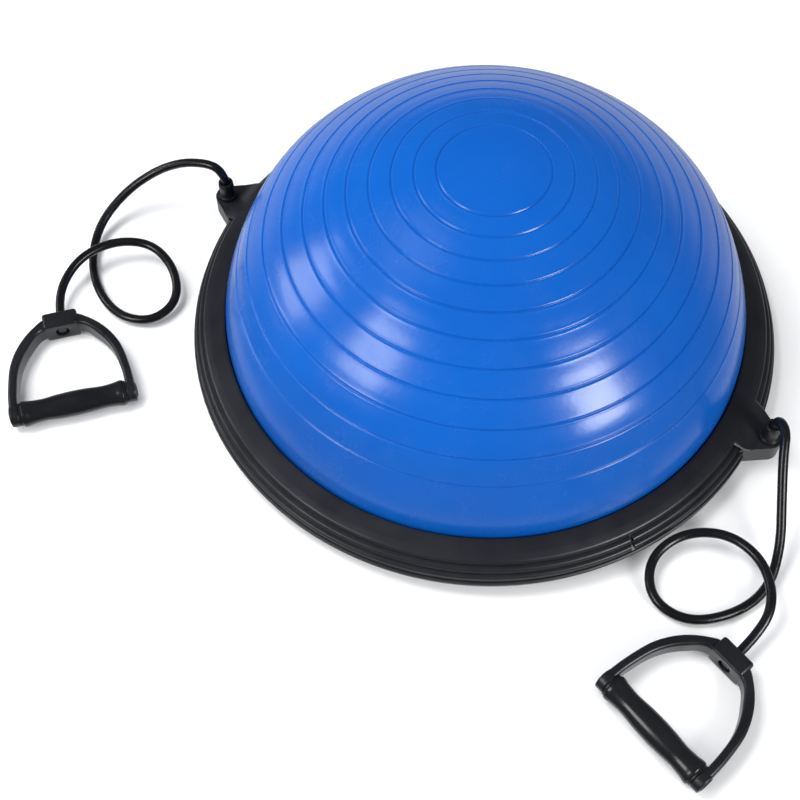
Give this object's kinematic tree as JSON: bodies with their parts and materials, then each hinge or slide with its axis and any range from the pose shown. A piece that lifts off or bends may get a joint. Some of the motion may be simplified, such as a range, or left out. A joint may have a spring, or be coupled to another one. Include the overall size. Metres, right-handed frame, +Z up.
{
  "type": "balance dome trainer",
  "caption": "Air-filled balance dome clamped to a round rigid platform, with an elastic tube and a stirrup handle on each side.",
  "frame": {"origin": "centre of the underside, on the floor", "axes": "+Z up through the dome's crown, +X through the right tube lug, -Y towards the laid-out handles"},
  "size_m": [0.8032, 0.6251, 0.2505],
  "materials": {
    "dome_pvc": "gloss",
    "soft_valve": "satin",
    "base_plastic": "satin",
    "ring_plastic": "satin",
    "anchor_plastic": "satin",
    "stopper_plastic": "satin",
    "yoke_plastic": "satin",
    "rubber_grey": "matte",
    "tube_latex": "satin",
    "grip_rubber": "matte",
    "steel_screw": "brushed",
    "steel_pin": "brushed"
  },
  "bodies": {
    "platform": {"dome_shell": "dome_pvc", "dome_floor": "dome_pvc", "valve_seat": "soft_valve", "base_tray": "base_plastic", "clamp_ring": "ring_plastic", "ring_screws": "steel_screw", "rubber_feet": "rubber_grey", "centre_foot": "rubber_grey", "left_tube_anchor": "anchor_plastic", "left_anchor_screw": "steel_screw", "left_tube": "tube_latex", "left_tube_stopper": "stopper_plastic", "left_yoke": "yoke_plastic", "left_spindle": "steel_pin", "left_spindle_caps": "anchor_plastic", "right_tube_anchor": "anchor_plastic", "right_anchor_screw": "steel_screw", "right_tube": "tube_latex", "right_tube_stopper": "stopper_plastic", "right_yoke": "yoke_plastic", "right_spindle": "steel_pin", "right_spindle_caps": "anchor_plastic"},
    "left_grip": {"left_grip_core": "anchor_plastic", "left_grip_sleeve": "grip_rubber"},
    "right_grip": {"right_grip_core": "anchor_plastic", "right_grip_sleeve": "grip_rubber"},
    "valve_plug": {"valve_plug": "soft_valve"}
  },
  "joints": [
    {"name": "left_grip_spin", "type": "hinge", "parent": "platform", "child": "left_grip", "pos_m": [-0.30555, -0.27769, 0.013], "axis": [-0.7289, -0.6846, 0], "continuous": true},
    {"name": "right_grip_spin", "type": "hinge", "parent": "platform", "child": "right_grip", "pos_m": [0.31981, -0.30294, 0.013], "axis": [-0.9331, 0.3597, 0], "continuous": true},
    {"name": "valve_plug_pull", "type": "slide", "parent": "platform", "child": "valve_plug", "axis": [0, 0, -1], "range_m": [0, 0.02]}
  ]
}
